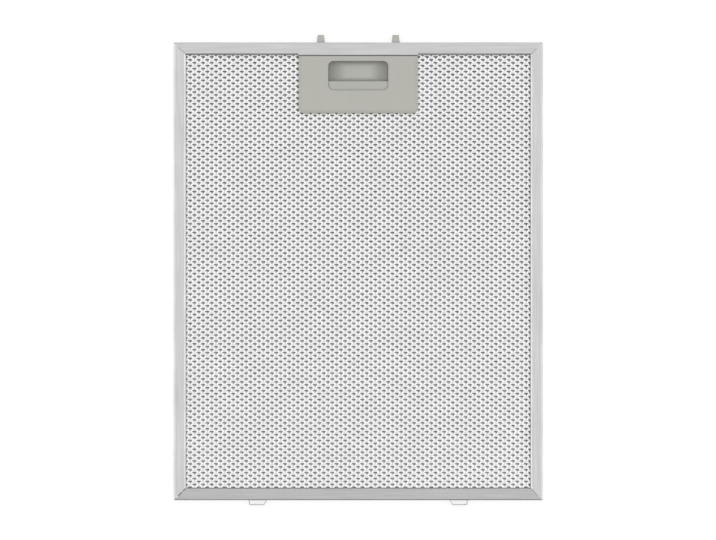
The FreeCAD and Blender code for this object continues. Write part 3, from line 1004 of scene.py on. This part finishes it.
@dataclass
class Handle:
    """Moulded plate and tray with the latch slide between them.

    Attributes:
        plate_grey: linear colour of the plate and the tray.
        slide_grey: linear colour of the slide.
        lip_length: length of the slide's lip.
        cup_length: length of the finger cup above the lip.
        cup_depth: height above the slide's back that the cup's ramps stay under.
        cup_shade_start: distance from the cup's middle where the painted shade at its ends begins.
        cup_shade_full: distance from the cup's middle where that painted shade is darkest.
        cup_shade_fade: how far painted shade reaches from the cup's upper and lower walls.
        cup_shade_share: how much darker that painted shade is.
        groove_reach: from the groove under the frame's upper flange to the plate's edge.
        groove_depth: how far the groove's rim is under the plate's face.
        groove_shade_share: how much darker the groove's painted shadow is.
    """

    plate_grey: Colour = (0.46, 0.46, 0.417)
    slide_grey: Colour = (0.435, 0.44, 0.4)
    lip_length: float = 9.8 * MM
    cup_length: float = 13.6 * MM
    cup_depth: float = 3.5 * MM
    # painted shade in the finger cup and in the groove under the frame's upper flange
    cup_shade_start: float = 7.0 * MM
    cup_shade_full: float = 16.2 * MM
    cup_shade_fade: float = 3.2 * MM
    cup_shade_share: float = 0.34
    groove_reach: float = 8.1 * MM
    groove_depth: float = 0.3 * MM
    groove_shade_share: float = 0.6

    def cup(self) -> Recess:
        """Finger cup of the slide, with painted shade at its ends and along its walls.

        Returns:
            The recess.
        """
        low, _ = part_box("latch_slide")
        lip_y = low.y + self.lip_length
        # painted shade at the finger cup's ends and walls
        return Recess(
            end_start=self.cup_shade_start, end_full=self.cup_shade_full,
            lower_y=lip_y, upper_y=lip_y + self.cup_length, wall_fade=self.cup_shade_fade,
            rim_z=low.z + self.cup_depth, painted_shade_share=self.cup_shade_share,
        )

    def groove(self) -> Recess:
        """Groove between the plate and the frame's upper side, with painted shadow along it and
        none at its ends.

        Returns:
            The recess.
        """
        _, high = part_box("handle_plate")
        # painted shadow in the groove under the frame's upper flange
        return Recess(
            end_start=high.x, end_full=2 * high.x,
            lower_y=high.y - self.groove_reach, upper_y=high.y, wall_fade=self.groove_reach,
            rim_z=high.z - self.groove_depth, painted_shade_share=self.groove_shade_share,
        )

    def finishes(self) -> dict[str, Finish]:
        """Lists the handle's finishes.

        Returns:
            Finishes by the node that they dress.
        """
        moulded = {
            "metallic": 0.0, "smoothest": 0.42, "roughest": 0.55, "drift_scale": 60.0,
            "drift_share": 0.03, "grain_scale": (2600.0, 2600.0, 2600.0), "grain_share": 0.02,
            "grain_height": 8e-6,
        }
        return {
            "handle_plate": PaintedShadePlastic(
                name="plate_plastic", colour=self.plate_grey, recess=self.groove(), **moulded
            ),
            "handle_tray": Finish(name="tray_plastic", colour=self.plate_grey, **moulded),
            "latch_slide": PaintedShadePlastic(
                name="slide_plastic", colour=self.slide_grey, recess=self.cup(), **moulded
            ),
        }

    def build(self, groups: SurfaceGroups) -> Iterator[str]:
        """Dresses the handle.

        Args:
            groups: shared node groups.

        Yields:
            A line about each piece.
        """
        for node, finish in self.finishes().items():
            yield dress(node, finish.material(groups))


@dataclass
class MeshPack:
    """Two facing sheets with inner sheets between them.

    Attributes:
        plate_lap: how far the handle plate laps over the edge of the mesh.
        facing_pattern: diamonds of the front and back sheets.
        inner_pattern: diamonds of the sheets between them.
        inner_shifts: share of a pitch that each inner sheet is moved by, from front to back.
    """

    plate_lap: float = 2.5 * MM
    facing_pattern: StrandPattern = StrandPattern(
        long_pitch=5.83 * MM, short_pitch=3.965 * MM, strand_width=1.07 * MM, gauge=0.2 * MM,
        lean=math.radians(14), low_bond=1.75 * MM, high_bond=3.05 * MM,
    )
    inner_pattern: StrandPattern = StrandPattern(
        long_pitch=5.83 * MM, short_pitch=3.965 * MM, strand_width=0.95 * MM, gauge=0.15 * MM,
        lean=math.radians(18), low_bond=1.2 * MM, high_bond=2.2 * MM,
    )
    inner_shifts: tuple[tuple[float, float], ...] = ((0.14, 0.16), (0.35, 0.2), (0.5, 0.0))

    def finishes(self) -> dict[StrandPattern, Finish]:
        """Lists the finishes of the facing sheets and of the inner ones.

        Returns:
            Finishes by the pattern of the sheets that they dress.
        """
        facing = Finish(
            name="expanded_aluminium", colour=(0.875, 0.875, 0.875), metallic=1.0,
            smoothest=0.36, roughest=0.42, drift_scale=90.0, drift_share=0.03,
            grain_scale=(1800.0, 1800.0, 1800.0), grain_share=0.04, grain_height=4e-6,
        )
        inner = replace(facing, name="inner_foil", colour=(0.71, 0.71, 0.71))
        return {self.facing_pattern: facing, self.inner_pattern: inner}

    def sheets(self) -> Iterator[ExpandedSheet]:
        """Lists the sheets of the pack from front to back.

        Yields:
            The sheets.
        """
        plate_low, plate_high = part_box("handle_plate")
        notch = (plate_high.x - self.plate_lap, plate_low.y + self.plate_lap)
        yield ExpandedSheet(
            "facing_mesh_front", "mesh_front", self.facing_pattern, Facing.FRONT, *notch
        )
        numbers = range(len(self.inner_shifts), 0, -1)
        for number, shift in zip(numbers, self.inner_shifts):
            yield ExpandedSheet(
                f"inner_mesh_{number}", f"mesh_inner_{number}", self.inner_pattern, Facing.FRONT,
                *notch, shift,
            )
        yield ExpandedSheet(
            "facing_mesh_back", "mesh_back", self.facing_pattern, Facing.BACK, *notch
        )

    def build(self, groups: SurfaceGroups) -> Iterator[str]:
        """Builds the sheets.

        Args:
            groups: shared node groups.

        Yields:
            A line about each sheet.
        """
        metals = {
            pattern: finish.material(groups) for pattern, finish in self.finishes().items()
        }
        trees = StrandTrees()
        for sheet in self.sheets():
            piece = sheet.build(trees, metals[sheet.pattern])
            yield f"{piece.name}: {len(piece.data.polygons)} faces"


@dataclass
class Studio:
    """Floor, soft light and camera.

    Attributes:
        photo_width: width of the photograph in pixels.
        photo_height: height of the photograph in pixels.
        metres_per_pixel: scale of the photograph at the filter's front face.
        frame_pixel: pixel that the middle of the frame is at.
        frame_middle_y: Y of the middle of the frame.
        camera_height: height of the camera above the floor.
        sensor_width: width of the camera's sensor in millimetres.
        floor_half_width: half of the floor's width.
        floor_drop: how far the floor lies under the filter's back.
        floor_tone: share of the lamps' light that the floor gives back.
        floor_glow: light that the floor adds where it is seen or mirrored.
        overhead_level: light of the mirrored room overhead.
        side_level: its light to the left and right.
        side_rise: sideways share of a direction where the sides begin and are reached.
        below_share: what is left of the room's light towards the photograph's lower edge.
        below_rise: downward share of a direction where that begins and is reached.
        horizon_share: what is left of the room's light at its horizon.
        horizon_rise: upward share of a direction where that ends and the full light is reached.
        lamp_spread: angle that the overhead lamp fills.
        lamp_level: light of the overhead lamp.
        fill_spread: angle that the fill light fills.
        fill_level: light of the fill light.
    """

    photo_width: int = 716
    photo_height: int = 540
    metres_per_pixel: float = 0.6767 * MM
    frame_pixel: tuple[float, float] = (358.25, 271.35)
    frame_middle_y: float = -0.9 * MM
    camera_height: float = 4.0
    sensor_width: float = 36.0
    floor_half_width: float = 20.0
    floor_drop: float = 0.05 * MM
    floor_tone: float = 0.3
    floor_glow: float = 0.76
    overhead_level: float = 0.68
    side_level: float = 1.42
    side_rise: tuple[float, float] = (0.1, 0.5)
    below_share: float = 0.25
    below_rise: tuple[float, float] = (0.2, 0.8)
    horizon_share: float = 0.4
    horizon_rise: tuple[float, float] = (0.1, 0.6)
    lamp_spread: float = math.radians(90)
    lamp_level: float = 2.3
    fill_spread: float = math.radians(170)
    fill_level: float = 0.6

    def camera(self) -> None:
        """Sets the camera straight above the filter."""
        data = bpy.data.cameras.new("camera")
        data.sensor_width = self.sensor_width
        front = CAD_BOX[1].z
        view_width = self.photo_width * self.metres_per_pixel
        data.lens = self.sensor_width * (self.camera_height - front) / view_width
        camera = bpy.data.objects.new("camera", data)
        right = (self.frame_pixel[0] - self.photo_width / 2) * self.metres_per_pixel
        down = (self.frame_pixel[1] - self.photo_height / 2) * self.metres_per_pixel
        camera.location = (-right, self.frame_middle_y + down, self.camera_height)
        bpy.context.scene.collection.objects.link(camera)
        bpy.context.scene.camera = camera

    def floor(self) -> None:
        """Lays a white floor, which glows only where the camera or a reflection sees it."""
        half = self.floor_half_width
        mesh = bpy.data.meshes.new("floor")
        corners = [(-half, -half), (half, -half), (half, half), (-half, half)]
        mesh.from_pydata([(x, y, -self.floor_drop) for x, y in corners], [], [(0, 1, 2, 3)])
        material = bpy.data.materials.new("white_floor")
        material.use_nodes = True
        canvas = Canvas(material.node_tree)
        canvas.tree.nodes.clear()
        path = canvas.node("ShaderNodeLightPath", {}).outputs
        seen = canvas.math("MAXIMUM", path["Is Camera Ray"], canvas.math(
            "MAXIMUM", path["Is Glossy Ray"], path["Is Transmission Ray"]
        ))
        strength = canvas.math("MULTIPLY", seen, self.floor_glow)
        glow = canvas.node(
            "ShaderNodeEmission", {"Color": shade_of(WHITE), "Strength": strength}
        )
        matt = canvas.node("ShaderNodeBsdfDiffuse", {"Color": shade_of(WHITE, self.floor_tone)})
        both = canvas.node("ShaderNodeAddShader", {0: glow.outputs[0], 1: matt.outputs[0]})
        canvas.node("ShaderNodeOutputMaterial", {"Surface": both.outputs[0]})
        mesh.materials.append(material)
        floor = bpy.data.objects.new("floor", mesh)
        bpy.context.scene.collection.objects.link(floor)

    def sky(self) -> None:
        """Gives the metal a soft room to mirror, with bright sides and a dim foot and horizon."""
        world = bpy.data.worlds.new("soft_room")
        world.use_nodes = True
        canvas = Canvas(world.node_tree)
        background = world.node_tree.nodes["Background"]
        background.inputs["Color"].default_value = shade_of(WHITE)
        way = canvas.node("ShaderNodeTexCoord", {}).outputs["Generated"]
        x, y, z = canvas.node("ShaderNodeSeparateXYZ", {0: way}).outputs
        sides = canvas.rise(canvas.math("ABSOLUTE", x), *self.side_rise)
        below = canvas.rise(canvas.math("MULTIPLY", y, -1.0), *self.below_rise)
        height = canvas.rise(z, *self.horizon_rise)
        level = canvas.between(sides, self.overhead_level, self.side_level)
        level = canvas.math("MULTIPLY", level, canvas.between(below, 1.0, self.below_share))
        level = canvas.math("MULTIPLY", level, canvas.between(height, self.horizon_share, 1.0))
        canvas.feed(background.inputs["Strength"], level)
        world.cycles_visibility.diffuse = False
        bpy.context.scene.world = world

    def lamps(self) -> None:
        """Hangs a broad soft lamp overhead, and a fill light as wide as the room."""
        lights = {
            "overhead_lamp": (self.lamp_spread, self.lamp_level),
            "fill_light": (self.fill_spread, self.fill_level),
        }
        for name, (spread, level) in lights.items():
            data = bpy.data.lights.new(name, "SUN")
            data.energy = level
            data.angle = spread
            lamp = bpy.data.objects.new(name, data)
            lamp.visible_glossy = False
            bpy.context.scene.collection.objects.link(lamp)

    def build(self) -> None:
        """Sets up the studio."""
        bpy.context.scene.view_settings.view_transform = "Standard"
        self.camera()
        self.floor()
        self.sky()
        self.lamps()


def main() -> None:
    """Builds the studio and the filter, and reports each piece."""
    logging.basicConfig(level=logging.INFO, format="%(name)s: %(message)s")
    Studio().build()
    LOG.info("studio: camera, floor, room light and lamps")
    groups = SurfaceGroups()
    for assembly in (FrameChannel(), Handle(), MeshPack(), LatchSpring()):
        for line in assembly.build(groups):
            LOG.info("%s", line)


if __name__ == "__main__":
    main()
